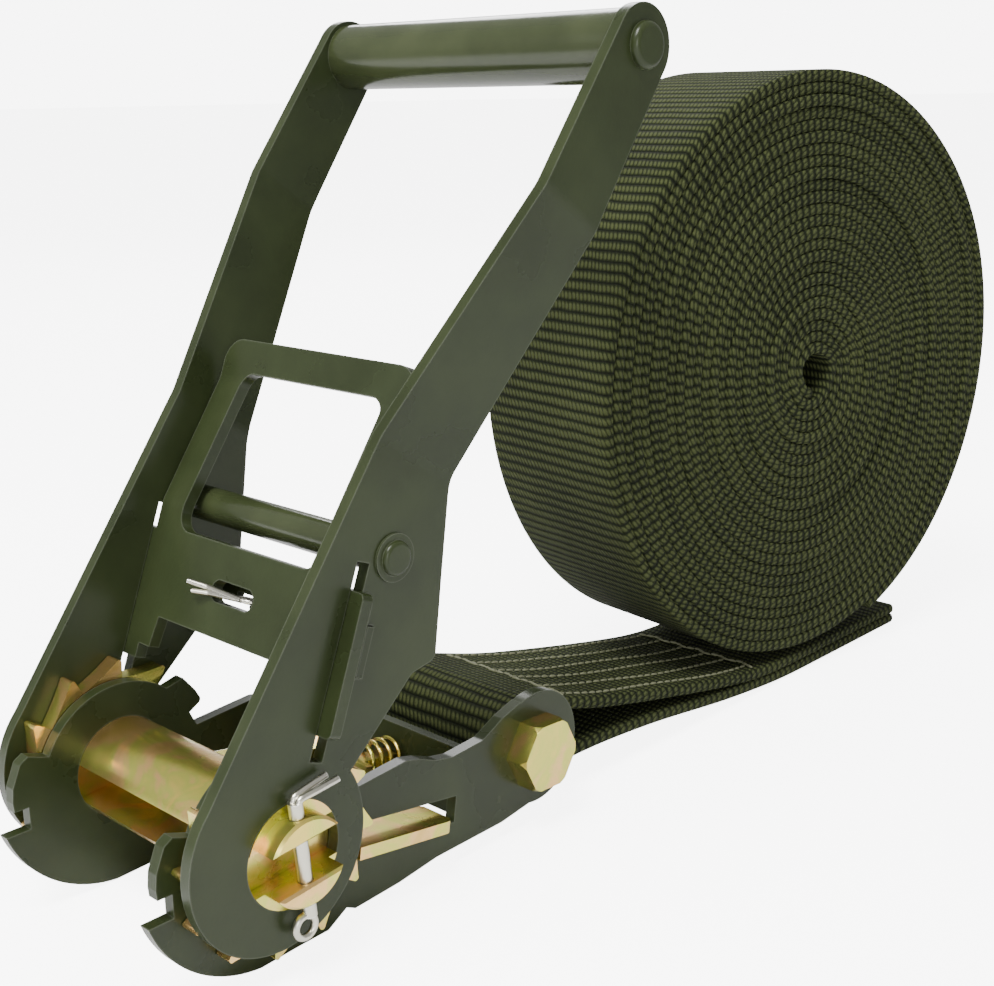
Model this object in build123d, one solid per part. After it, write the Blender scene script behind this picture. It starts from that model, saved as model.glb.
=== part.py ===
from build123d import *
from math import cos, radians, sin
import os

# Ratchet strap: a 50 mm ratchet buckle with its sewn webbing loop and the long webbing rolled up.
# Every shape is drawn about the spool axis (x forward to the webbing, z up) and moved at the end so that
# the origin lies on the floor under the middle of the whole object.

os.makedirs("parts", exist_ok=True)

# ---------------------------------------------------------------- driving dimensions (mm)
AXIS_X = -140.24             # spool axis in the finished frame
AXIS_Z = 28.3

WEB_WIDTH = 50.0             # webbing width, the nominal size of the strap
WEB_THICK = 3.4
PLATE = 3.0                  # all pressed plates

FRAME_IN = 26.5              # inner face of the frame plates
WHEEL_IN = 29.75             # ratchet wheels run between frame and handle plates
WHEEL_OUT = 34.25
HANDLE_IN = 34.5             # lower part of the handle plates
GRIP_HALF = 47.5             # inner face of the handle plates at the grip

SPOOL_R = 12.0
SPOOL_HALF_LENGTH = 43.0
END_R = 10.0                 # turned-down ends outside the handle plates
END_FROM = 37.7
SLOT_HALF = 5.0              # half of the slot between the two spool halves
SLOT_TILT = 5.0              # degrees
BEARING_R = SPOOL_R + 0.06   # running fit in frame and handle plates

TEETH = 12
TIP_R = 25.0
ROOT_R = 20.5
TOOTH_PHASE = 80.5           # angle of one steep tooth face

BOLT_X, BOLT_Z = 83.0, -7.5  # anchor bolt carrying the webbing loop
BOLT_R = 5.0
HEX_R = 9.8  # corner radius of the bolt head and the nut
BUSH_R = 8.0

GRIP_X, GRIP_Z = 99.2, 162.3
GRIP_R = 8.25
SPACER_X, SPACER_Z = 31.0, 57.5
SPACER_R = 4.25

DRIVE_ANGLE = 69.0           # radial line of the drive pawl
LOCK_DIR = (0.988, 0.0, -0.1543)
LOCK_UP = (0.1543, 0.0, 0.988)
LOCK_X, LOCK_Z = 21.1, -8.3  # front top edge of the lock pawl

ROLL_R = 90.4
ROLL_CORE_R = 4.5
ROLL_X, ROLL_Y = 218.6, -1.5
ROLL_LIFT = 97.3             # roll centre above the floor
ROLL_YAW = -7.0
FLOOR = -AXIS_Z

# ---------------------------------------------------------------- construction planes
DRIVE_COS = cos(radians(DRIVE_ANGLE))
DRIVE_SIN = sin(radians(DRIVE_ANGLE))
# sketch (y, s) on the drive pawl, normal towards the webbing
DRIVE_FACE = Plane(origin=(0, 0, 0), x_dir=(0, 1, 0), z_dir=(DRIVE_SIN, 0, -DRIVE_COS))
# sketch (w, s) across the thickness of the drive pawl, normal along -y
DRIVE_EDGE = Plane(origin=(0, 0, 0), x_dir=(DRIVE_SIN, 0, -DRIVE_COS), z_dir=(0, -1, 0))
# sketch (t, y) on the lock pawl, normal upwards
LOCK_FACE = Plane(origin=(LOCK_X, 0, LOCK_Z), x_dir=LOCK_DIR, z_dir=LOCK_UP)
# sketch (t, h) across the thickness of the lock pawl, normal along -y
LOCK_EDGE = Plane(origin=(LOCK_X, 0, LOCK_Z), x_dir=LOCK_DIR, z_dir=(0, -1, 0))


# ---------------------------------------------------------------- helpers
def slab(sketch, y0, y1):
    """Extrude an (x, z) sketch from y0 to y1."""
    return Pos(0, y1, 0) * extrude(Plane.XZ * sketch, amount=y1 - y0, dir=(0, -1, 0))


def rod(x, z, radius, y0, y1):
    """Round bar along y."""
    return slab(Pos(x, z) * Circle(radius), y0, y1)


def drive_box(y0, y1, s0, s1, w0, w1):
    """Box in the drive pawl's own directions."""
    sketch = Pos((w0 + w1) / 2, (s0 + s1) / 2) * Rectangle(w1 - w0, s1 - s0)
    return Pos(0, y1, 0) * extrude(DRIVE_EDGE * sketch, amount=y1 - y0)


def lock_box(y0, y1, t0, t1, h0, h1):
    """Box in the lock pawl's own directions."""
    sketch = Pos((t0 + t1) / 2, (h0 + h1) / 2) * Rectangle(t1 - t0, h1 - h0)
    return Pos(0, y1, 0) * extrude(LOCK_EDGE * sketch, amount=y1 - y0)


def wire(points, radius, bend):
    """Round wire along a path with rounded corners."""
    path = FilletPolyline(*points, radius=bend)
    start = Plane(origin=path @ 0, z_dir=path % 0)
    return sweep(start * Circle(radius), path=path)


def ends(face, test, radius):
    """Round the corners of a sketch picked by test."""
    return fillet([v for v in face.vertices() if test(v)], radius)


def other_side(part):
    """Mirror image on the far side."""
    return mirror(part, about=Plane.XZ)


def place(part):
    """Move from the spool axis to the finished frame."""
    return Pos(AXIS_X, 0, AXIS_Z) * part


# ---------------------------------------------------------------- frame
def frame_plate_near():
    """Pressed frame plate: hook and open notch at the spool, arm and end lobe at the anchor bolt."""
    lower = ThreePointArc((-4.2, FLOOR), (-20.7, -21.6), (-30.9, -7.0))
    rim = Polyline(
        (-30.9, -7.0), (-24.8, -7.0), (-24.8, -1.6), (-28.3, -1.6), (-28.5, 0.6), (-28.1, 4.0),
        (-25.8, 9.3), (-23.7, 10.5), (-18.4, 8.6), (0, 12), (18.4, 16.5), (21.6, 12.5), (23.4, 9.3),
        (19.6, 7.1), (21.4, 3.3), (31, 4.0), (39.7, 4.6), (44.1, 3.5), (49.5, 1.3), (54.5, 0.3),
        (65.1, 1.0), (71.9, 4.3), (78.8, 6.5), (91.8, -20.6), (71.3, -23.4), (48.6, -23.7),
        (36.4, -25.2), (22.7, -25.9), (20.1, -24.6), (14.6, -27.8), (6.6, FLOOR + 0.4), (-4.2, FLOOR),
    )
    face = make_face(lower + rim)
    face = ends(face, lambda v: v.Y < -22 and 30 < v.X < 80, 6)
    face = ends(face, lambda v: v.Y > 0 and 39 < v.X < 75, 4)
    face = ends(face, lambda v: (v.X < -25 and v.Y > 3) or (v.X > 23 and 9 < v.Y < 10), 1.2)
    plate = slab(face, -FRAME_IN - PLATE, -FRAME_IN)
    plate += rod(0, 0, ROOT_R, -FRAME_IN - PLATE, -FRAME_IN)
    plate += rod(84.5, -7.5, 14.8, -FRAME_IN - PLATE, -FRAME_IN)
    plate -= rod(0, 0, BEARING_R, -40, 0)
    plate -= rod(BOLT_X, BOLT_Z, BOLT_R + 0.1, -40, 0)
    plate -= lock_box(-40, 0, -1.3, 34.4, -PLATE - 0.25, 3.4)
    return plate


def frame_cross_web():
    """Spring abutment welded across the two frame plates, with the hole for the lock pawl's tongue."""
    web = lock_box(-FRAME_IN, FRAME_IN, 40.0, 43.0, -4.6, 12.4)
    web -= lock_box(-3.2, 3.2, 35, 50, 1.7, 5.3)
    return web


def anchor_bolt():
    """Hexagon bolt with a rounded shank end."""
    head = slab(Pos(BOLT_X, BOLT_Z) * Rot(0, 0, -3) * RegularPolygon(HEX_R, 6), -35.9, -29.5)
    chamfer_cone = Cone(11.4, 9.2, 6.4, align=(Align.CENTER, Align.CENTER, Align.MIN))
    head = head & (Pos(BOLT_X, -29.5, BOLT_Z) * Rot(90, 0, 0) * chamfer_cone)
    return head + rod(BOLT_X, BOLT_Z, BOLT_R, -29.6, 41)


def anchor_nut():
    """Hexagon nut on the far side."""
    nut = slab(Pos(BOLT_X, BOLT_Z) * Rot(0, 0, 12) * RegularPolygon(HEX_R, 6), 29.5, 37.5)
    return nut - rod(BOLT_X, BOLT_Z, BOLT_R, 20, 45)


def anchor_bush():
    """Steel tube between the frame plates; the webbing loop goes round it."""
    return rod(BOLT_X, BOLT_Z, BUSH_R, -FRAME_IN, FRAME_IN) - rod(BOLT_X, BOLT_Z, BOLT_R + 0.1, -30, 30)


# ---------------------------------------------------------------- webbing
def webbing_sewn_loop():
    """Webbing folded round the bush; both plies run together to the cut end on the floor."""
    loop = BUSH_R + 0.2
    top = Spline(
        (BOLT_X, BOLT_Z + loop + WEB_THICK), (100, FLOOR + 28), (115, FLOOR + 23), (135, FLOOR + 18.5),
        (163, FLOOR + 12.5), (190, FLOOR + 7.6), (208, FLOOR + 2 * WEB_THICK), tangents=[(1, 0), (1, 0)],
    )
    low = Spline(
        (BOLT_X, BOLT_Z - loop - WEB_THICK), (112, FLOOR + 9.4), (140, FLOOR + 7.2), (175, FLOOR + 2.5),
        (208, FLOOR), tangents=[(1, 0), (1, 0)],
    )
    end = Polyline((208, FLOOR + 2 * WEB_THICK), (276, FLOOR + 2 * WEB_THICK), (276, FLOOR), (208, FLOOR))
    nose = ThreePointArc(top @ 0, (BOLT_X - loop - WEB_THICK, BOLT_Z), low @ 0)
    outer = make_face(Curve() + [top, low, end, nose])
    upper = Spline(
        (BOLT_X, BOLT_Z + loop), (99.3, FLOOR + 24.7), (114.3, FLOOR + 19.7), (134.2, FLOOR + 15.2),
        (174, FLOOR + 6.5), tangents=[(1, 0), (0.97, -0.22)],
    )
    under = Spline(
        (BOLT_X, BOLT_Z - loop), (112, FLOOR + 12.8), (140, FLOOR + 10.6), (174, FLOOR + 6.5),
        tangents=[(1, 0), (0.98, -0.15)],
    )
    eye = ThreePointArc(upper @ 0, (BOLT_X - loop, BOLT_Z), under @ 0)
    inner = make_face(Curve() + [upper, under, eye])
    return slab(outer - inner, -WEB_WIDTH / 2, WEB_WIDTH / 2)


def webbing_roll():
    """The long webbing wound into a disc round an open core, standing on the sewn end."""
    disc = Cylinder(ROLL_R, WEB_WIDTH) - Cylinder(ROLL_CORE_R, WEB_WIDTH)
    return Pos(ROLL_X, ROLL_Y, FLOOR + ROLL_LIFT) * Rot(0, 0, ROLL_YAW) * Rot(90, 0, 0) * disc


# ---------------------------------------------------------------- handle
def handle_plate_near():
    """Pressed handle plate, narrow at the spool and joggled outwards to the wide grip."""
    face = Polygon(
        (-3.3, 2.0), (16.4, 13.2), (35.1, 29.8), (42.3, 31.1), (44.9, 49.6), (48.1, 70.9), (85.1, 126.7),
        (106.6, 157.2), (99.0, 162.0), (91.4, 167.4), (26.8, 81.8), (-21.7, 15.1), align=None,
    )
    face = ends(face, lambda v: v.X > 34 and v.Y < 40, 2.5)
    face = ends(face, lambda v: 45 < v.X < 50 and v.Y > 60, 14)
    face += Pos(-3.3, 2.0) * Circle(22.7)
    face += Pos(GRIP_X - 0.2, GRIP_Z) * Circle(9.2)
    bend = Polygon(
        (-60, 34.5), (86, 34.5), (148, 47.5), (230, 47.5), (230, 50.5), (148, 50.5), (86, 37.5),
        (-60, 37.5), align=None,
    )
    bend = ends(bend, lambda v: 80 < v.X < 150, 12)
    along = Plane(
        origin=(0, 0, 0), x_dir=(cos(radians(55)), 0, sin(radians(55))),
        z_dir=(-sin(radians(55)), 0, cos(radians(55))),
    )
    sheet = mirror(extrude(along * bend, amount=90, both=True), about=Plane.XZ)
    plate = slab(face, -55, -30) & sheet
    plate -= rod(0, 0, BEARING_R, -60, 0)
    plate -= rod(GRIP_X, GRIP_Z, 4.05, -60, 0)
    plate -= rod(SPACER_X, SPACER_Z, 2.55, -60, 0)
    plate -= drive_box(-60, 0, 19.7, 62.6, -1.75, 1.75)
    plate -= drive_box(-60, 0, 38.0, 49.7, 4.7, 7.0)
    return plate


def grip_tube():
    """Tube between the wide ends of the handle plates."""
    tube = rod(GRIP_X, GRIP_Z, GRIP_R, -GRIP_HALF, GRIP_HALF)
    return tube - rod(GRIP_X, GRIP_Z, 6.25, -60, 60)


def grip_rivet():
    """Rod through the grip tube, headed over both handle plates."""
    body = rod(GRIP_X, GRIP_Z, 4.0, -50.6, 50.6)
    head = rod(GRIP_X, GRIP_Z, 5.3, -52.5, -50.5)
    head = fillet(head.edges().group_by(Axis.Y)[0], 1.4)
    return body + head + other_side(head)


def spacer_tube():
    """Spacer between the handle plates above the spool."""
    tube = rod(SPACER_X, SPACER_Z, SPACER_R, -HANDLE_IN, HANDLE_IN)
    return tube - rod(SPACER_X, SPACER_Z, 2.7, -60, 60)


def spacer_rivet():
    """Rivet through the spacer tube with a button head on a raised ring at both ends."""
    body = rod(SPACER_X, SPACER_Z, 2.5, -37.6, 37.6)
    ring = rod(SPACER_X, SPACER_Z, 5.4, -38.1, -37.5)
    head = rod(SPACER_X, SPACER_Z, 3.9, -39.3, -37.5)
    head = fillet(head.edges().group_by(Axis.Y)[0], 1.0)
    return body + ring + head + other_side(ring + head)


def spring_bridge():
    """Cross strip behind the drive pawl; tabs through the handle plates, flange backs the spring."""
    body = drive_box(-36, 36, 46.0, 49.5, 4.85, 6.85)
    body += drive_box(-38.2, -29.5, 38.2, 49.5, 4.85, 6.85)
    body += drive_box(29.5, 38.2, 38.2, 49.5, 4.85, 6.85)
    body += drive_box(-6, 6, 47.5, 49.5, 4.85, 12.2)
    return body - drive_box(-6, 6, 40, 47.5, 0, 20)


# ---------------------------------------------------------------- spool
def spool_half_upper():
    """Solid D-section bar, flat side to the slot, drilled for both split pins."""
    segment = Circle(SPOOL_R) - Pos(0, SLOT_HALF - 20) * Rectangle(60, 40)
    bar = slab(Rot(0, 0, SLOT_TILT) * segment, -SPOOL_HALF_LENGTH, SPOOL_HALF_LENGTH)
    sleeve = rod(0, 0, 30, -60, -END_FROM) + rod(0, 0, 30, END_FROM, 60)
    bar -= sleeve - rod(0, 0, END_R, -60, 60)
    bar = chamfer(bar.faces().sort_by(Axis.Y)[0].edges() + bar.faces().sort_by(Axis.Y)[-1].edges(), 0.6)
    return bar - pin_hole()


def spool_half_lower():
    """The opposite half."""
    return Rot(0, 180, 0) * spool_half_upper()


def pin_hole():
    """Cross drillings through both spool halves, square to the slot."""
    hole = Cylinder(1.75, 60)
    tilt = Rot(0, -SLOT_TILT, 0)
    return Pos(0, -40.3, 0) * tilt * hole + Pos(0, 40.3, 0) * tilt * hole


def ratchet_wheel_near():
    """Twelve saw teeth; the two spool halves pass through half-moon holes either side of a web."""
    lines = []
    step = 360 / TEETH
    for k in range(TEETH):
        a = TOOTH_PHASE + k * step
        tip = polar(TIP_R - 0.8, a)
        root = polar(ROOT_R, a - 1.2)
        middle = polar(21.75, a - 15)
        crest = polar(TIP_R - 0.4, a - step + 3.4)
        lines += [Line(tip, root), ThreePointArc(root, middle, crest)]
        lines += [ThreePointArc(crest, polar(TIP_R, a - step + 1.5), polar(TIP_R - 0.8, a - step))]
    face = make_face(Curve() + lines)
    moon = Circle(SPOOL_R + 0.05) - Pos(0, SLOT_HALF - 0.05 - 20) * Rectangle(60, 40)
    face -= Rot(0, 0, SLOT_TILT) * moon
    face -= Rot(0, 0, SLOT_TILT + 180) * moon
    return slab(face, -WHEEL_OUT, -WHEEL_IN)


def polar(radius, angle):
    """Point of a sketch at a radius and angle in degrees."""
    return (radius * cos(radians(angle)), radius * sin(radians(angle)))


def spool_split_pin_near():
    """Split pin through both spool halves: eye below, two legs bent over above."""
    y = -40.3
    tilt = Rot(0, -SLOT_TILT, 0)
    pin = Pos(0, y, 0) * tilt * Cylinder(1.6, 27)
    pin += tilt * wire([(0, y - 0.68, 10), (0.2, y - 0.68, 13.9), (10.9, y - 1.0, 14.2)], 0.8, 1.5)
    pin += tilt * wire([(0, y + 0.66, 10), (-0.2, y + 0.66, 14.2), (9.4, y + 0.9, 15.2)], 0.78, 1.5)
    pin += tilt * Pos(-1.6, y, -15.5) * Rot(90, 0, 0) * Torus(2.5, 0.85)
    return pin


# ---------------------------------------------------------------- drive pawl
def drive_pawl():
    """Sliding pawl plate with ears through the handle plates and the finger bail joggled back."""
    half = [
        (24.5, 36.5), (25.5, 29.0), (29.75, 29.0), (29.75, 25.4), (41.5, 25.4), (41.5, 56.5), (33.5, 56.5),
        (33.5, 105.5),
    ]
    left = [(-y, s) for y, s in reversed(half)]
    face = Polygon(*half, *left, align=None)
    face = ends(face, lambda v: v.Y > 100, 6)
    face = ends(face, lambda v: abs(v.X) > 40, 1.5)
    face -= Pos(0, (57.7 + 97.5) / 2) * RectangleRounded(50, 97.5 - 57.7, 4)
    face -= Pos(0, 47) * RectangleRounded(15, 5, 2.4)
    bend = Polygon(
        (-1.5, 20), (1.5, 20), (1.5, 63), (9.5, 95), (9.5, 110), (6.5, 110), (6.5, 95.4), (-1.5, 63.4),
        align=None,
    )
    bend = ends(bend, lambda v: 60 < v.Y < 97, 8)
    sheet = extrude(DRIVE_EDGE * bend, amount=60, both=True)
    pawl = extrude(DRIVE_FACE * face, amount=30, both=True) & sheet
    pawl += drive_box(-5, 5, 36.5, 38.5, -1.5, 12.0)
    return pawl


def drive_pawl_spring():
    """Coil spring between the pawl's lug and the flange of the spring bridge."""
    coil = Helix(pitch=1.6, height=7.6, radius=2.7)
    coil = sweep(Plane(origin=coil @ 0, z_dir=coil % 0) * Circle(0.5), path=coil)
    return DRIVE_EDGE.location * Pos(8.3, 39.2, 0) * Rot(-90, 0, 0) * coil


def drive_pawl_split_pin():
    """Split pin lying across the front of the pawl, its eye hooked through the slotted hole."""
    eye = Pos(0, -4.2, 0) * Torus(2.6, 0.6)
    shank = wire([(-3.1, -4.6, 0), (-3.1, 8.0, 0.3), (-5.4, 12.6, 0.5)], 0.65, 2.0)
    second = wire([(-3.1, -4.6, 0), (-3.1, 7.0, -0.9), (-4.6, 11.2, -1.4)], 0.6, 2.0)
    frame = Plane(origin=(0, 0, 0), x_dir=(DRIVE_SIN, 0, -DRIVE_COS), z_dir=(DRIVE_COS, 0, DRIVE_SIN))
    return frame.location * Pos(0.7, 0, 46.9) * (eye + shank + second)


# ---------------------------------------------------------------- lock pawl
def lock_pawl():
    """Sliding lock plate: two ears through the frame plates and a raised tongue for spring and pin."""
    face = Polygon(
        (0, 34.2), (0, 24), (9.2, 24), (9.2, -24), (0, -24), (0, -34.2), (29.3, -34.2), (29.3, -24),
        (25.6, -20), (25.6, 20), (29.3, 24), (29.3, 34.2), align=None,
    )
    face = ends(face, lambda v: v.X > 28 and abs(v.Y) > 30, 2)
    plate = extrude(LOCK_FACE * face, amount=PLATE, dir=(-LOCK_UP[0], 0, -LOCK_UP[2]))
    tongue = Polygon(
        (20, -3), (23.0, -3), (28.0, 2.0), (45.8, 2.0), (45.8, 5.0), (26.4, 5.0), (21.4, 0), (20, 0),
        align=None,
    )
    raised = Pos(0, 6.2, 0) * extrude(LOCK_EDGE * tongue, amount=12.4, dir=(0, -1, 0))
    raised -= lock_box(2.7, 10, 28.4, 60, -5, 10) + lock_box(-10, -2.7, 28.4, 60, -5, 10)
    hole = LOCK_FACE * (Pos(44.3, 0) * Circle(1.05))
    return plate + raised - extrude(hole, amount=20, both=True)


def lock_pawl_spring():
    """Coil spring round the tongue, between its shoulders and the cross web."""
    coil = Helix(pitch=3.1, height=10.2, radius=5.0)
    coil = sweep(Plane(origin=coil @ 0, z_dir=coil % 0) * Circle(0.48), path=coil)
    return LOCK_EDGE.location * Pos(29.0, 3.5, 0) * Rot(0, 90, 0) * coil


def lock_pawl_split_pin():
    """Split pin through the end of the tongue, resting against the cross web."""
    pin = Pos(0, 0, 3.5) * Cylinder(0.98, 8.0)
    pin += Pos(0, 0, 9.0) * Rot(0, 90, 0) * Torus(1.9, 0.6)
    pin += wire([(0, 0.3, 0.8), (0, 0.3, -0.8), (0.2, 5.0, -1.6)], 0.55, 0.8)
    pin += wire([(0, -0.3, 0.8), (0, -0.3, -0.8), (0.2, -4.6, -2.0)], 0.55, 0.8)
    return LOCK_FACE.location * Pos(44.3, 0, 0) * pin


# ---------------------------------------------------------------- hand out
def save(name, part):
    """Write one sub-part in the finished frame."""
    export_step(place(part), f"parts/{name}.step")


save("frame_plate_near", frame_plate_near())
save("frame_plate_far", other_side(frame_plate_near()))
save("frame_cross_web", frame_cross_web())
save("anchor_bolt", anchor_bolt())
save("anchor_nut", anchor_nut())
save("anchor_bush", anchor_bush())
save("webbing_sewn_loop", webbing_sewn_loop())
save("webbing_roll", webbing_roll())
save("handle_plate_near", handle_plate_near())
save("handle_plate_far", other_side(handle_plate_near()))
save("grip_tube", grip_tube())
save("grip_rivet", grip_rivet())
save("spacer_tube", spacer_tube())
save("spacer_rivet", spacer_rivet())
save("spring_bridge", spring_bridge())
save("spool_half_upper", spool_half_upper())
save("spool_half_lower", spool_half_lower())
save("ratchet_wheel_near", ratchet_wheel_near())
save("ratchet_wheel_far", other_side(ratchet_wheel_near()))
save("spool_split_pin_near", spool_split_pin_near())
save("spool_split_pin_far", other_side(spool_split_pin_near()))
save("drive_pawl", drive_pawl())
save("drive_pawl_spring", drive_pawl_spring())
save("drive_pawl_split_pin", drive_pawl_split_pin())
save("lock_pawl", lock_pawl())
save("lock_pawl_spring", lock_pawl_spring())
save("lock_pawl_split_pin", lock_pawl_split_pin())
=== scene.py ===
# %% [markdown]
# # Ratchet strap
# A 50 mm ratchet buckle, its sewn webbing loop and the rolled webbing. The imported CAD model is the frame:
# its metal nodes are kept, because they are already exact, and get bevels and materials. The webbing, the
# stitches and the springs are soft or repeated forms that CAD only stands in for, so they are rebuilt here
# from curves; the webbing and the stitches ride on the frame's body.

# %% Load the frame
import bmesh
import bpy
import math
import numpy as np
from mathutils import Matrix, Vector


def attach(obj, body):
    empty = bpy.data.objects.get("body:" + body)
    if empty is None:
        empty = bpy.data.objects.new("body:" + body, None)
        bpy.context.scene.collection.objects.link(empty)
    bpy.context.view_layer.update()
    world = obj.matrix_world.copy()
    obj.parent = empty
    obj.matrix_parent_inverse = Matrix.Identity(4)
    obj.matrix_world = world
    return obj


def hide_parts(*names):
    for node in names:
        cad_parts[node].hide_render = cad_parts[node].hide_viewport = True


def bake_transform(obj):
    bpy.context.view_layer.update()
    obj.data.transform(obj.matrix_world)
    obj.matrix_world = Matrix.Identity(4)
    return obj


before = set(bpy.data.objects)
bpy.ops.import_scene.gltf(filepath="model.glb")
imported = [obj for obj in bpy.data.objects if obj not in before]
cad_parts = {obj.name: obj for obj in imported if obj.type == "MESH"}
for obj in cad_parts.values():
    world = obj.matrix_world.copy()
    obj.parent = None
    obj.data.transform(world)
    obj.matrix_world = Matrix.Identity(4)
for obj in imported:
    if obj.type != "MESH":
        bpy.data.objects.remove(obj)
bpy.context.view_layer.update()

# %% [markdown]
# ## Driving sizes
# The spool carries the handle and both ratchet wheels, so every place is measured from its axis, in
# millimetres, and is turned into metres at the end. Working from one axis keeps the numbers readable and
# the same as in the CAD model.

# %% Driving sizes
AXIS = Vector((-0.14024, 0.0, 0.0283))
WEB_WIDTH, WEB_THICK = 50.0, 3.4
FLOOR = -28.3


def metres(points):
    """Points about the spool axis in mm, as an array in the shared frame in metres."""
    return np.asarray(points, float) / 1000 + np.array(AXIS)


print("spool axis at", tuple(round(v, 5) for v in AXIS), "m; strap", WEB_WIDTH, "x", WEB_THICK, "mm")

# %% [markdown]
# ## Shader groups
# Paint, plating and cloth each repeat the same few ideas, so each idea is a node group that is built once
# and placed in many materials. Copying the nodes by hand would work too, but a fix would then have to be
# made in every copy. These short helpers add a group, a node, a Math node or a colour ramp.

# %% Shader helpers
def group(name, inputs, outputs):
    """New shader group with float inputs {name: default} and typed outputs {name: type}."""
    g = bpy.data.node_groups.new(name, "ShaderNodeTree")
    for key, value in inputs.items():
        g.interface.new_socket(key, in_out="INPUT", socket_type="NodeSocketFloat").default_value = value
    for key, kind in outputs.items():
        g.interface.new_socket(key, in_out="OUTPUT", socket_type=kind)
    return g, g.nodes.new("NodeGroupInput"), g.nodes.new("NodeGroupOutput")


def put(tree, kind, links=None, **values):
    """Adds a node; values set its properties, links {socket: source socket or constant}."""
    node = tree.nodes.new(kind)
    for key, value in values.items():
        setattr(node, key, value)
    for key, source in (links or {}).items():
        if isinstance(source, bpy.types.NodeSocket):
            tree.links.new(source, node.inputs[key])
        else:
            node.inputs[key].default_value = source
    return node


def maths(tree, operation, a, b=0.0, clamp=False):
    """A Math node's result."""
    return put(tree, "ShaderNodeMath", {0: a, 1: b}, operation=operation, use_clamp=clamp).outputs[0]


def ramp(tree, factor, stops):
    """A colour ramp; stops are (position, colour)."""
    node = put(tree, "ShaderNodeValToRGB", {0: factor})
    for i, (position, colour) in enumerate(stops):
        stop = node.color_ramp.elements[i] if i < 2 else node.color_ramp.elements.new(position)
        stop.position = position
        stop.color = (*colour, 1)
    return node.outputs[0]


print("node groups before this file's own:", len(bpy.data.node_groups))

# %% [markdown]
# ## Edge wear and grain
# Handling rubs a pressed part bare along its edges first. The wear group finds those edges by comparing
# the true normal with one rounded by a Bevel node, and lets noise break the line into chips; painting a
# mask by hand would look as good, but only on one part. The grain group adds a fine bump and slow blotches,
# so that no surface is perfectly even.

# %% Edge wear and grain groups
wear, wear_in, wear_out = group("edge_wear", {"Width": 0.0007, "Scale": 260.0}, {"Mask": "NodeSocketFloat"})
round_normal = put(wear, "ShaderNodeBevel", {"Radius": wear_in.outputs["Width"]}, samples=6)
true_normal = put(wear, "ShaderNodeNewGeometry")
dot = put(wear, "ShaderNodeVectorMath", {0: round_normal.outputs[0], 1: true_normal.outputs["Normal"]},
          operation="DOT_PRODUCT")
place = put(wear, "ShaderNodeTexCoord")
chips = put(wear, "ShaderNodeTexNoise", {
    "Vector": place.outputs["Object"], "Scale": wear_in.outputs["Scale"], "Detail": 6.0, "Roughness": 0.65})
sharp = maths(wear, "MULTIPLY", maths(wear, "SUBTRACT", 1.0, dot.outputs["Value"]), 5.0)
both = maths(wear, "ADD", sharp, maths(wear, "MULTIPLY", chips.outputs[0], 0.9))
edge = put(wear, "ShaderNodeMapRange", {"Value": both, "From Min": 0.78, "From Max": 0.98})
wear.links.new(edge.outputs[0], wear_out.inputs["Mask"])

grain, grain_in, grain_out = group("fine_grain", {"Scale": 900.0, "Depth": 0.00004},
                                   {"Normal": "NodeSocketVector", "Blotch": "NodeSocketFloat"})
place = put(grain, "ShaderNodeTexCoord")
fine = put(grain, "ShaderNodeTexNoise", {
    "Vector": place.outputs["Object"], "Scale": grain_in.outputs["Scale"], "Detail": 3.0})
wide = put(grain, "ShaderNodeTexNoise", {"Vector": place.outputs["Object"], "Scale": 45.0, "Detail": 5.0})
bump = put(grain, "ShaderNodeBump", {"Height": fine.outputs[0], "Distance": grain_in.outputs["Depth"],
                                     "Strength": 0.6})
grain.links.new(bump.outputs[0], grain_out.inputs["Normal"])
grain.links.new(wide.outputs[0], grain_out.inputs["Blotch"])
print("groups", [g.name for g in bpy.data.node_groups])

# %% [markdown]
# ## The weave
# Across the strap run heavy weft ribs; over them lie warp threads that step sideways from rib to rib, so
# the surface reads as a twill. Modelling every thread would take millions of faces, so both come from
# sines of the UV map, whose first value runs along the strap and whose second runs across it, in metres.

# %% Weave group
weave, weave_in, weave_out = group("weave", {"Rib": 0.0026, "Thread": 0.0012},
                                   {"Normal": "NodeSocketVector", "Height": "NodeSocketFloat",
                                    "Blotch": "NodeSocketFloat"})
uv = put(weave, "ShaderNodeUVMap", uv_map="strap")
axes = put(weave, "ShaderNodeSeparateXYZ", {0: uv.outputs[0]})
wobble = put(weave, "ShaderNodeTexNoise", {"Vector": uv.outputs[0], "Scale": 120.0, "Detail": 2.0})
shift = maths(weave, "MULTIPLY", maths(weave, "SUBTRACT", wobble.outputs[0], 0.5), 0.0009)
along = maths(weave, "ADD", axes.outputs[0], shift)
across = maths(weave, "ADD", axes.outputs[1], shift)
turns = maths(weave, "DIVIDE", along, weave_in.outputs["Rib"])
rib = maths(weave, "ABSOLUTE", maths(weave, "SINE", maths(weave, "MULTIPLY", turns, math.pi)))
threads = maths(weave, "ADD", maths(weave, "DIVIDE", across, weave_in.outputs["Thread"]),
                maths(weave, "MULTIPLY", turns, 0.75))
thread = maths(weave, "ABSOLUTE", maths(weave, "SINE", maths(weave, "MULTIPLY", threads, math.pi)))
fuzz = put(weave, "ShaderNodeTexNoise", {"Vector": uv.outputs[0], "Scale": 2600.0, "Detail": 4.0})
height = maths(weave, "ADD", maths(weave, "MULTIPLY", maths(weave, "POWER", rib, 0.8), 0.42),
               maths(weave, "MULTIPLY", maths(weave, "MULTIPLY", thread, rib), 0.58))
height = maths(weave, "ADD", height, maths(weave, "MULTIPLY", fuzz.outputs[0], 0.38))
bump = put(weave, "ShaderNodeBump", {"Height": height, "Distance": 0.0009, "Strength": 1.0})
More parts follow.
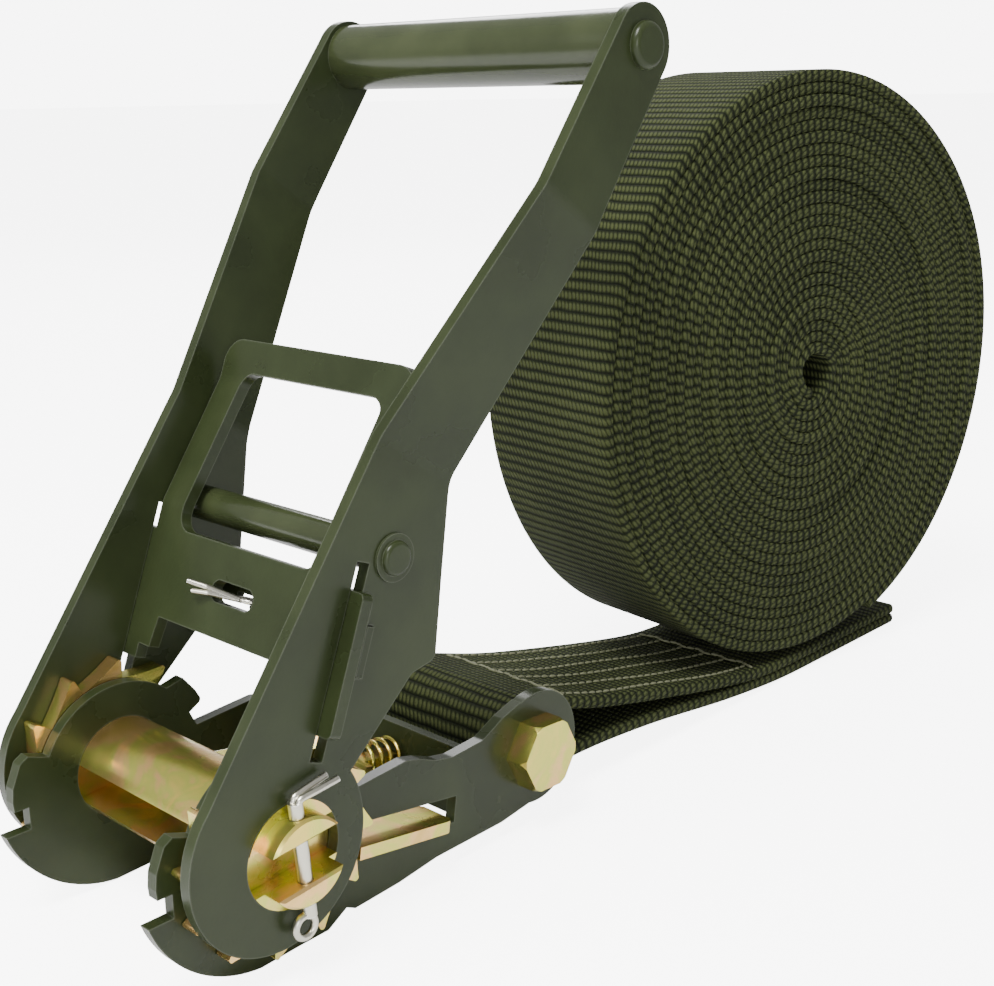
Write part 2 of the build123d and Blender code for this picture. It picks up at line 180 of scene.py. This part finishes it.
wide = put(weave, "ShaderNodeTexNoise", {"Vector": uv.outputs[0], "Scale": 30.0, "Detail": 4.0})
weave.links.new(bump.outputs[0], weave_out.inputs["Normal"])
weave.links.new(height, weave_out.inputs["Height"])
weave.links.new(wide.outputs[0], weave_out.inputs["Blotch"])
print("weave group:", len(weave.nodes), "nodes")

# %% [markdown]
# ## Paint and wire
# The plates are olive paint, worn through on their edges; the pins and a spring are plain zinc wire. One
# function covers both, because they differ only in their colours, their roughness and how metallic they
# are. Constants sit on each Principled shader's own sockets, where an export can read them.

# %% Material helpers
def material(name, **sockets):
    """Material with one Principled shader; sockets set its constants."""
    m = bpy.data.materials.new(name)
    m.use_nodes = True
    shader = m.node_tree.nodes["Principled BSDF"]
    for key, value in sockets.items():
        shader.inputs[key.replace("_", " ")].default_value = value
    return m, m.node_tree, shader


def use(tree, shared, **values):
    """Places a shared group in a material."""
    node = put(tree, "ShaderNodeGroup", node_tree=shared)
    for key, value in values.items():
        node.inputs[key].default_value = value
    return node


print("groups ready to place:", wear.name, grain.name, weave.name)

# %% Coated metals
def metal(name, dark, light, bare, rough, metallic, worn=1.0, shine=0.4):
    """Coated steel: two blotchy tones, bare steel on the worn edges."""
    m, tree, shader = material(name, Metallic=metallic, Specular_IOR_Level=shine)
    marks = use(tree, wear)
    skin = use(tree, grain, Depth=0.00004)
    base = ramp(tree, skin.outputs["Blotch"], [(0.35, dark), (0.65, light)])
    mask = maths(tree, "MULTIPLY", marks.outputs[0], worn, clamp=True)
    mix = put(tree, "ShaderNodeMix", {"Factor": mask, "A": base, "B": (*bare, 1)}, data_type="RGBA")
    tree.links.new(mix.outputs["Result"], shader.inputs["Base Color"])
    spread = put(tree, "ShaderNodeMapRange", {"Value": skin.outputs["Blotch"], "To Min": rough - 0.08,
                                              "To Max": rough + 0.12})
    tree.links.new(spread.outputs[0], shader.inputs["Roughness"])
    tree.links.new(skin.outputs["Normal"], shader.inputs["Normal"])
    return m


paint = metal("olive_paint", (0.015, 0.0205, 0.0072), (0.022, 0.0295, 0.0105), (0.12, 0.13, 0.10),
              0.27, 0.0, 0.35, 0.22)
tube_paint = metal("olive_tube", (0.020, 0.026, 0.010), (0.032, 0.040, 0.016), (0.15, 0.16, 0.12),
                   0.15, 0.0, 0.3)
wire = metal("zinc_wire", (0.42, 0.41, 0.36), (0.62, 0.60, 0.50), (0.80, 0.79, 0.74), 0.26, 1.0)
print("coated metals:", paint.name, tube_paint.name, wire.name)

# %% [markdown]
# ## Yellow zinc
# The spool, the bolt and the lock pawl are plated, and the plating's thin film shifts from gold to pink and
# green. A slow, distorted noise drives a ramp between these tones. A thin-film layer could do it by
# physics, but it is far harder to steer than a ramp.

# %% Yellow zinc
yellow, tree, shader = material("zinc_yellow", Metallic=0.95)
skin = use(tree, grain, Scale=700.0, Depth=0.00003)
place = put(tree, "ShaderNodeTexCoord")
cast = put(tree, "ShaderNodeTexNoise", {"Vector": place.outputs["Object"], "Scale": 70.0, "Detail": 3.0,
                                        "Distortion": 1.2})
tone = ramp(tree, cast.outputs[0], [(0.30, (0.64, 0.44, 0.12)), (0.70, (0.74, 0.57, 0.14)),
                                    (0.44, (0.78, 0.50, 0.20)), (0.56, (0.56, 0.56, 0.12))])
tree.links.new(tone, shader.inputs["Base Color"])
spread = put(tree, "ShaderNodeMapRange", {"Value": skin.outputs["Blotch"], "To Min": 0.14, "To Max": 0.36})
tree.links.new(spread.outputs[0], shader.inputs["Roughness"])
tree.links.new(skin.outputs["Normal"], shader.inputs["Normal"])
print("plating:", yellow.name)

# %% [markdown]
# ## Webbing and thread
# Polyester webbing is matt: the valleys between its ribs lie in deep shade and only the crests catch light.
# The weave group's height drives both the bump and the colour, so the valleys carry painted shade and the
# crests a painted highlight, in step with the bump.

# %% Webbing and thread
def cloth(name, low, mid, crest_highlight, rib, thread):
    """Woven polyester: painted shade between the ribs, painted highlight on the crests."""
    m, tree, shader = material(name, Roughness=0.85, Specular_IOR_Level=0.12)
    pattern = use(tree, weave, Rib=rib, Thread=thread)
    # Weave height as colour: painted shade in the valleys and a painted highlight on the crests, plus random
    # blotches.
    crest_light_and_blotch = maths(tree, "ADD", pattern.outputs["Height"],
                 maths(tree, "MULTIPLY", maths(tree, "SUBTRACT", pattern.outputs["Blotch"], 0.5), 0.5))
    colour = ramp(tree, crest_light_and_blotch, [(0.25, low), (1.0, crest_highlight), (0.62, mid)])
    tree.links.new(colour, shader.inputs["Base Color"])
    tree.links.new(pattern.outputs["Normal"], shader.inputs["Normal"])
    return m


# Valley, middle and crest colours: the dark valleys are painted shade, the light crests a painted highlight.
webbing = cloth("webbing", (0.0045, 0.0062, 0.0021), (0.014, 0.0185, 0.006), (0.048, 0.057, 0.020),
                0.0029, 0.0015)
thread_stuff, tree, shader = material("thread", Roughness=0.6, Base_Color=(0.12, 0.125, 0.07, 1))
skin = use(tree, grain, Scale=4000.0, Depth=0.0001)
tree.links.new(skin.outputs["Normal"], shader.inputs["Normal"])
print("cloth:", webbing.name, thread_stuff.name)

# %% [markdown]
# ## Metal parts
# The CAD nodes keep their shape. Pressed steel never has a perfectly sharp edge, so a small bevel modifier
# catches the light on each one; it is narrow enough to leave every size as it was. The split pins are
# already round, so they go without.

# %% Assign materials and bevel the metal
LOOK = {
    "frame_plate": paint, "frame_cross": paint, "handle_plate": paint, "grip_tube": tube_paint,
    "grip_rivet": paint, "spacer_tube": tube_paint, "spacer_rivet": paint, "spring_bridge": paint,
    "drive_pawl": paint, "anchor_bolt": yellow, "anchor_nut": yellow, "anchor_bush": yellow,
    "spool_half": yellow, "ratchet_wheel": yellow, "lock_pawl": yellow,
}


def look_of(name):
    """Material of a metal node, by its name."""
    if "split_pin" in name or "pawl_spring" in name:
        return wire
    return next(stuff for start, stuff in LOOK.items() if name.startswith(start))


for name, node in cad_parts.items():
    if name.startswith("webbing"):
        continue
    node.data.materials.clear()
    node.data.materials.append(look_of(name))
    if "split_pin" in name:
        continue
    soft = node.modifiers.new("edge", "BEVEL")
    soft.width = 0.00035
    soft.segments = 2
    soft.limit_method = "ANGLE"
    soft.angle_limit = math.radians(38)
    soft.harden_normals = True
print("metal nodes dressed:", sum(not name.startswith("webbing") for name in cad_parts))

# %% [markdown]
# ## Webbing as a strip
# Both webbing pieces are one flat strap with rounded edges, bent in the x-z plane. A bevelled curve could
# make them, but it gives no UV map in real lengths, which the weave needs. One function therefore sweeps
# the strap's section along a centre line, writes the UV map in metres and keeps the mesh closed, so that
# its area can be compared with the flat cut.

# %% Strip builder
def section(width, thick, flat_steps, edge):
    """Closed outline (across, through) of the strap, its edges rounded over the distance edge."""
    half, r = width / 2, thick / 2
    top = [(y, r) for y in np.linspace(half - edge, -(half - edge), flat_steps)]
    left = [(-(half - edge) - edge * math.sin(a), r * math.cos(a)) for a in np.linspace(0, math.pi, 6)[1:-1]]
    return np.array(top + left + [(-y, -z) for y, z in top] + [(-y, -z) for y, z in left])


def strip(name, line, width, thick, flat_steps, edge, sway=None):
    """Mesh object swept along line, an (n, 2) array of x and z in mm."""
    line = np.asarray(line, float)
    step = np.gradient(line, axis=0)
    step /= np.linalg.norm(step, axis=1)[:, None]
    normal = np.stack([-step[:, 1], step[:, 0]], axis=1)
    run = np.concatenate([[0], np.cumsum(np.linalg.norm(np.diff(line, axis=0), axis=1))])
    outline = section(width, thick, flat_steps, edge)
    girth = np.concatenate([[0], np.cumsum(np.linalg.norm(np.diff(outline, axis=0), axis=1))])
    n, k = len(line), len(outline)
    sway = np.zeros(n) if sway is None else sway
    y = outline[None, :, 0] + sway[:, None]
    t = outline[None, :, 1]
    points = np.stack([line[:, None, 0] + normal[:, None, 0] * t, np.broadcast_to(y, (n, k)),
                       line[:, None, 1] + normal[:, None, 1] * t], axis=2).reshape(-1, 3)
    faces = [(i * k + j, i * k + (j + 1) % k, (i + 1) * k + (j + 1) % k, (i + 1) * k + j)
             for i in range(n - 1) for j in range(k)]
    faces += [tuple(range(k))[::-1], tuple((n - 1) * k + j for j in range(k))]
    mesh = bpy.data.meshes.new(name)
    mesh.from_pydata(points.tolist(), [], faces)
    uvs = mesh.uv_layers.new(name="strap")
    at = np.zeros(len(mesh.loops), dtype=np.int64)
    mesh.loops.foreach_get("vertex_index", at)
    coords = np.stack([run[at // k], girth[at % k]], axis=1) / 1000
    uvs.data.foreach_set("uv", coords.astype(np.float32).ravel())
    mesh.shade_smooth()
    mesh.update()
    obj = bpy.data.objects.new(name, mesh)
    bpy.context.collection.objects.link(obj)
    mesh.materials.append(webbing)
    return obj, run[-1]


def move_mesh(obj, matrix):
    """Bakes a placement about the spool axis into the mesh, in metres in the shared frame."""
    obj.data.transform(Matrix.Translation(AXIS) @ Matrix.Scale(0.001, 4) @ matrix)
    obj.data.update()


def outward(obj):
    """Turns the faces outwards."""
    bm = bmesh.new()
    bm.from_mesh(obj.data)
    bmesh.ops.recalc_face_normals(bm, faces=bm.faces)
    bm.to_mesh(obj.data)
    bm.free()


print("strap section:", len(section(WEB_WIDTH, WEB_THICK, 7, 0.6)), "points round")

# %% [markdown]
# ### The roll
# The spare webbing is wound on itself and stands on the sewn end. A stack of rings would look alike from
# afar, but a true spiral from the open core to the outside has one length, like the strap. The turns are
# slightly lobed, and each lies a little proud of its neighbours, as webbing does when wound by hand.

# %% Roll
ROLL_X, ROLL_Y, ROLL_Z = 218.6, -1.5, FLOOR + 97.3
ROLL_R, CORE_R, ROLL_YAW = 90.4, 4.5, -7.0
PITCH = WEB_THICK + 0.05
SPACING = 2.8
LOOSE_END = math.radians(-68)
KNOTS = 110
RNG = np.random.default_rng(7)
start, stop = CORE_R + WEB_THICK / 2, ROLL_R - WEB_THICK / 2
total = 2 * math.pi * (stop - start) / PITCH
angle, angles = 0.0, []
while angle < total:
    angles.append(angle)
    angle += SPACING / (start + PITCH * angle / (2 * math.pi))
angles = np.array(angles)
radius = start + PITCH * angles / (2 * math.pi)
turn = LOOSE_END - (angles - angles[-1])
lobes = 0.25 * np.sin(3 * turn + 0.6) + 0.18 * np.sin(5 * turn)
spiral = np.stack([(radius + lobes) * np.cos(turn), (radius + lobes) * np.sin(turn)], axis=1)
proud = np.interp(angles / total * (KNOTS - 1), np.arange(KNOTS), RNG.normal(0, 0.38, KNOTS))
roll, roll_length = strip("roll_webbing", spiral, WEB_WIDTH, WEB_THICK - 0.08, 7, 0.6, proud)
stand = Matrix.Translation((ROLL_X, ROLL_Y, ROLL_Z)) @ Matrix.Rotation(math.radians(ROLL_YAW), 4, "Z")
move_mesh(roll, stand)
outward(roll)
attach(roll, "frame")
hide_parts("webbing_roll")
print("roll:", round(roll_length), "mm long,", round(total / 2 / math.pi, 1), "turns,",
      len(roll.data.polygons), "faces")

# %% [markdown]
# ### The sewn loop
# The strap runs from its cut end along the floor, rises, goes round the bush and comes back on top of
# itself. A cloth simulation could find that shape, but it would be slow and hard to aim. A few heights
# above the floor are enough instead: they are interpolated, and smoothed until they bend like webbing.

# %% Loop
BOLT_X, BOLT_Z, LOOP_R = 83.0, -7.5, 9.9
HALF = WEB_THICK / 2
PLAY = 0.1


def smooth(values, passes):
    """Averages neighbours, ends held."""
    values = np.array(values, float)
    for _ in range(passes):
        values[1:-1] = values[:-2] / 4 + values[1:-1] / 2 + values[2:] / 4
    return values


def ply(heights):
    """Centre line of one ply from (x, height above the floor) pairs, as points every 1.5 mm."""
    xs, hs = np.array(heights, float).T
    x = np.arange(xs[0], xs[-1] + 0.1, 1.5)
    return np.stack([x, FLOOR + smooth(np.interp(x, xs, hs), 60)], axis=1)


under = ply([(BOLT_X + 3, 10.9), (112, 11.1), (140, 8.9), (175, 4.2), (205, HALF), (276, HALF)])
over = ply([(BOLT_X + 3, 30.4), (100, 26.3), (115, 21.3), (135, 16.8), (163, 10.9), (190, 5.9),
            (206, 3 * HALF), (276.4, 3 * HALF)])
rounds = np.radians(np.arange(84, 277, 7.0))
nose = np.stack([BOLT_X + LOOP_R * np.cos(rounds), BOLT_Z + LOOP_R * np.sin(rounds)], axis=1)
loop_line = np.concatenate([over[::-1], nose, under])
loop_line[:, 0] = smooth(loop_line[:, 0], 2)
loop, loop_length = strip("loop_webbing", loop_line, WEB_WIDTH, WEB_THICK - PLAY, 14, 1.1)
move_mesh(loop, Matrix.Identity(4))
outward(loop)
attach(loop, "frame")
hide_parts("webbing_sewn_loop")
print("loop: length", round(loop_length), "mm")

# %% [markdown]
# ## Repeated details with Geometry Nodes
# Stitches and springs repeat one small form many times. Arrays or loops could place copies, but a node
# tree keeps the rule and its named inputs together. Each generator runs as a modifier, whose inputs are
# set by socket identifier, and its result is turned into a plain mesh, because an export drops instances.

# %% Geometry Nodes helpers
def geometry_group(name, inputs):
    """New geometry group; inputs are {name: (socket type, default)}."""
    g = bpy.data.node_groups.new(name, "GeometryNodeTree")
    g.interface.new_socket("Geometry", in_out="INPUT", socket_type="NodeSocketGeometry")
    for key, (kind, value) in inputs.items():
        g.interface.new_socket(key, in_out="INPUT", socket_type=kind).default_value = value
    g.interface.new_socket("Geometry", in_out="OUTPUT", socket_type="NodeSocketGeometry")
    return g, g.nodes.new("NodeGroupInput"), g.nodes.new("NodeGroupOutput")


def grow(name, shared, source, stuff, **values):
    """Runs a generator on a source mesh and returns the plain mesh object it makes."""
    holder = bpy.data.objects.new(name + "_source", source)
    bpy.context.collection.objects.link(holder)
    modifier = holder.modifiers.new("generator", "NODES")
    modifier.node_group = shared
    for item in shared.interface.items_tree:
        if item.item_type == "SOCKET" and item.in_out == "INPUT" and item.name in values:
            modifier[item.identifier] = values[item.name]
    bpy.context.view_layer.update()
    graph = bpy.context.evaluated_depsgraph_get()
    mesh = bpy.data.meshes.new_from_object(holder.evaluated_get(graph), depsgraph=graph)
    mesh.name = name
    mesh.materials.clear()
    mesh.materials.append(stuff)
    bpy.data.objects.remove(holder)
    obj = bpy.data.objects.new(name, mesh)
    bpy.context.collection.objects.link(obj)
    print(name, len(mesh.polygons), "faces")
    return obj


# %% [markdown]
# ### Stitch generator
# A lockstitch shows as a row of short thread beads. The line is cut into steps of one stitch, and each
# step gets a stretched sphere that is turned along the line and varies a little in length.

# %% Stitch generator
stitch, s_in, s_out = geometry_group("stitches", {
    "Length": ("NodeSocketFloat", 0.0030), "Thickness": ("NodeSocketFloat", 0.00045),
    "Jitter": ("NodeSocketFloat", 0.15), "Seed": ("NodeSocketInt", 3)})
curve = put(stitch, "GeometryNodeMeshToCurve", {"Mesh": s_in.outputs["Geometry"]})
points = put(stitch, "GeometryNodeResampleCurve", {"Curve": curve.outputs[0]})
points.mode = "LENGTH"
stitch.links.new(s_in.outputs["Length"], points.inputs["Length"])
bead = put(stitch, "GeometryNodeMeshUVSphere", {"Segments": 8, "Rings": 6, "Radius": 1.0})
tangent = put(stitch, "GeometryNodeInputTangent")
turned = put(stitch, "FunctionNodeAlignRotationToVector", {"Vector": tangent.outputs[0]}, axis="Z")
spread = put(stitch, "FunctionNodeRandomValue", {"Seed": s_in.outputs["Seed"]}, data_type="FLOAT")
shorter = maths(stitch, "MULTIPLY", s_in.outputs["Jitter"], spread.outputs[1])
share = maths(stitch, "SUBTRACT", 1.0, shorter)
half_length = maths(stitch, "MULTIPLY", s_in.outputs["Length"], 0.47)
reach = maths(stitch, "MULTIPLY", half_length, share)
size = put(stitch, "ShaderNodeCombineXYZ", {
    0: s_in.outputs["Thickness"], 1: s_in.outputs["Thickness"], 2: reach})
beads = put(stitch, "GeometryNodeInstanceOnPoints", {
    "Points": points.outputs[0], "Instance": bead.outputs[0], "Rotation": turned.outputs[0],
    "Scale": size.outputs[0]})
real = put(stitch, "GeometryNodeRealizeInstances", {0: beads.outputs[0]})
stuff = put(stitch, "GeometryNodeSetMaterial", {"Geometry": real.outputs[0]})
stuff.inputs["Material"].default_value = thread_stuff
stitch.links.new(stuff.outputs[0], s_out.inputs[0])
print("stitch generator:", len(stitch.nodes), "nodes")

# %% [markdown]
# ### Spring generator
# A coil spring is a round wire swept along a helix. A spiral curve whose two radii are equal is that
# helix, so length, radius, wire and turns stay four plain numbers.

# %% Spring generator
spring, c_in, c_out = geometry_group("coil_spring", {
    "Coil radius": ("NodeSocketFloat", 0.003), "Wire radius": ("NodeSocketFloat", 0.0005),
    "Height": ("NodeSocketFloat", 0.01), "Turns": ("NodeSocketFloat", 6.0)})
helix = put(spring, "GeometryNodeCurveSpiral", {
    "Resolution": 28, "Rotations": c_in.outputs["Turns"], "Start Radius": c_in.outputs["Coil radius"],
    "End Radius": c_in.outputs["Coil radius"], "Height": c_in.outputs["Height"]})
ring = put(spring, "GeometryNodeCurvePrimitiveCircle", {
    "Resolution": 10, "Radius": c_in.outputs["Wire radius"]})
body = put(spring, "GeometryNodeCurveToMesh", {
    "Curve": helix.outputs[0], "Profile Curve": ring.outputs[0], "Fill Caps": True})
real = put(spring, "GeometryNodeRealizeInstances", {0: body.outputs[0]})
stuff = put(spring, "GeometryNodeSetMaterial", {"Geometry": real.outputs[0]})
stuff.inputs["Material"].default_value = wire
spring.links.new(stuff.outputs[0], c_out.inputs[0])
print("spring generator:", len(spring.nodes), "nodes")

# %% [markdown]
# ### Stitches
# Six long rows hold the two plies together, closed by a zigzag bar at each end. A bump map could fake
# them, but real beads keep their highlights from close up. Rows follow the loop's own upper surface, so
# they never float above it.

# %% Sew the loop
LIFT = 0.15


def row(points):
    """Edges through points given about the spool axis in mm."""
    mesh = bpy.data.meshes.new("row")
    mesh.from_pydata(metres(points).tolist(), [(i, i + 1) for i in range(len(points) - 1)], [])
    return mesh


def on_top(x):
    """Height of the stitches over x, a little above the upper ply's surface."""
    return np.interp(x, over[:, 0], over[:, 1]) + HALF - PLAY / 2 + LIFT


seams = []
for y in (-20.5, -12.5, -4.0, 4.0, 12.5, 20.5):
    x = np.arange(104, 192, 2.0)
    seams.append(np.stack([x, y + 0.5 * np.sin(x / 9 + y), on_top(x)], axis=1))
for x0 in (103.0, 192.0):
    y = np.arange(-21.5, 21.6, 1.6)
    x = x0 + 1.6 * (np.arange(len(y)) % 2)
    seams.append(np.stack([x, y, on_top(x)], axis=1))
rows = [grow(f"seam_{i}", stitch, row(line), thread_stuff, Length=0.0032, Seed=i)
        for i, line in enumerate(seams)]
bpy.ops.object.select_all(action="DESELECT")
for part in rows:
    part.select_set(True)
bpy.context.view_layer.objects.active = rows[0]
bpy.ops.object.join()
seam = rows[0]
seam.name = "loop_stitches"
seam.data.shade_smooth()
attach(seam, "frame")
print("stitches:", len(seams), "rows,", len(seam.data.polygons), "faces")

# %% [markdown]
# ### Springs
# One spring presses the drive pawl into the wheels, the other does the same for the lock pawl. Each is a
# fixed helix laid from its seat along the pawl's slide and baked into the shared frame.

# %% Wind the springs
DRIVE = math.radians(69.0)
LOCK_WAY = (0.988, -0.1543)


def drive_point(along, across):
    """Point (x, z) along the drive pawl's slide and across it, in mm from the spool axis."""
    return (math.cos(DRIVE) * along + math.sin(DRIVE) * across,
            math.sin(DRIVE) * along - math.cos(DRIVE) * across)


def lock_point(along, across):
    """Point (x, z) along the lock pawl's slide and across it, in mm from the pawl's edge at the wheels."""
    return (21.1 + LOCK_WAY[0] * along - LOCK_WAY[1] * across,
            -8.3 + LOCK_WAY[1] * along + LOCK_WAY[0] * across)


def coil(name, node, stuff, start, direction, length, radius, gauge, turns):
    """Spring along direction (x, z) from start (x, z) in mm."""
    seed = bpy.data.meshes.new("seed")
    seed.from_pydata([(0, 0, 0)], [], [])
    sizes = {"Coil radius": radius, "Wire radius": gauge, "Height": length, "Turns": turns}
    obj = grow(name, spring, seed, stuff, **sizes)
    way = Vector((direction[0], 0, direction[1])).normalized()
    turn = Vector((0, 0, 1)).rotation_difference(way).to_matrix().to_4x4()
    foot = AXIS + Vector((start[0], 0, start[1])) / 1000
    obj.data.transform(Matrix.Scale(0.001, 4))
    obj.data.transform(Matrix.Translation(foot) @ turn)
    obj.data.shade_smooth()
    outward(obj)
    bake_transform(obj)
    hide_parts(node)


coil("drive_spring", "drive_pawl_spring", wire, drive_point(39.0, 8.3), (math.cos(DRIVE), math.sin(DRIVE)),
     length=8.0, radius=2.7, gauge=0.5, turns=5)
coil("lock_spring", "lock_pawl_spring", yellow, lock_point(28.9, 3.5), LOCK_WAY,
     length=10.6, radius=5.0, gauge=0.52, turns=3.6)

# %% [markdown]
# ## Light and floor
# The strap stands on a pale floor under soft light from above and the left. A fully white room would wash
# out the metal, so the floor and the sky glow only for the camera's own rays, which the Light Path node
# tells apart; reflections see a calmer studio.

# %% Stage
def lamp(name, place, target, size, power):
    """Soft square light aimed at a point, in metres."""
    data = bpy.data.lights.new(name, "AREA")
    data.size = size
    data.energy = power
    obj = bpy.data.objects.new(name, data)
    obj.location = place
    obj.rotation_euler = (Vector(target) - Vector(place)).to_track_quat("-Z", "Y").to_euler()
    bpy.context.collection.objects.link(obj)


bpy.ops.mesh.primitive_plane_add(size=60, location=(0, 0, -0.0002))
floor = bpy.context.object
floor.name = "floor"
pale, tree, shader = material("floor", Roughness=0.9, Base_Color=(0.92, 0.92, 0.92, 1),
                              Emission_Color=(1, 1, 1, 1))
seen = put(tree, "ShaderNodeLightPath")
glow = maths(tree, "MULTIPLY", seen.outputs["Is Camera Ray"], 6.0)
tree.links.new(glow, shader.inputs["Emission Strength"])
floor.data.materials.append(pale)
world = bpy.data.worlds.new("studio")
bpy.context.scene.world = world
world.use_nodes = True
sky = world.node_tree
seen = put(sky, "ShaderNodeLightPath")
bright_sky = maths(sky, "ADD", maths(sky, "MULTIPLY", seen.outputs["Is Camera Ray"], 6.8), 0.6)
sky.nodes["Background"].inputs[0].default_value = (1, 1, 1, 1)
sky.links.new(bright_sky, sky.nodes["Background"].inputs[1])
lamp("key", (-0.6, -0.2, 1.2), (0.05, 0, 0.1), 0.5, 30.0)
lamp("side", (-1.1, 0.4, 0.7), (0, 0, 0.08), 0.5, 10.0)
lamp("low", (-0.7, -1.0, 0.35), (-0.1, 0, 0.06), 0.4, 6.0)
lamp("rim", (0.8, 0.9, 0.9), (0, 0, 0.1), 0.5, 8.0)
print("lamps:", [light.name for light in bpy.data.lights])

# %% [markdown]
# ## Camera
# The camera stands low in front of the spool and looks along the strap, so that the buckle is large before
# the roll. Three angles and a place are easier to read and to change than a tracking constraint.

# %% Camera
yaw, pitch, tilt = math.radians(43.70), math.radians(15.20), math.radians(-0.956)
forward = Vector((math.cos(pitch) * math.cos(yaw), math.cos(pitch) * math.sin(yaw), -math.sin(pitch)))
right = Vector((math.sin(yaw), -math.cos(yaw), 0))
up = right.cross(forward)
right, up = (math.cos(tilt) * right + math.sin(tilt) * up, -math.sin(tilt) * right + math.cos(tilt) * up)
camera = bpy.data.objects.new("camera", bpy.data.cameras.new("camera"))
bpy.context.collection.objects.link(camera)
camera.data.lens = 53.39
camera.data.sensor_width = 36
camera.matrix_world = Matrix((
    (right.x, up.x, -forward.x, AXIS.x - 0.17028),
    (right.y, up.y, -forward.y, -0.26055),
    (right.z, up.z, -forward.z, AXIS.z + 0.15275),
    (0, 0, 0, 1)))
bpy.context.scene.camera = camera
print("camera at", tuple(round(v, 4) for v in camera.matrix_world.translation), "lens", camera.data.lens)
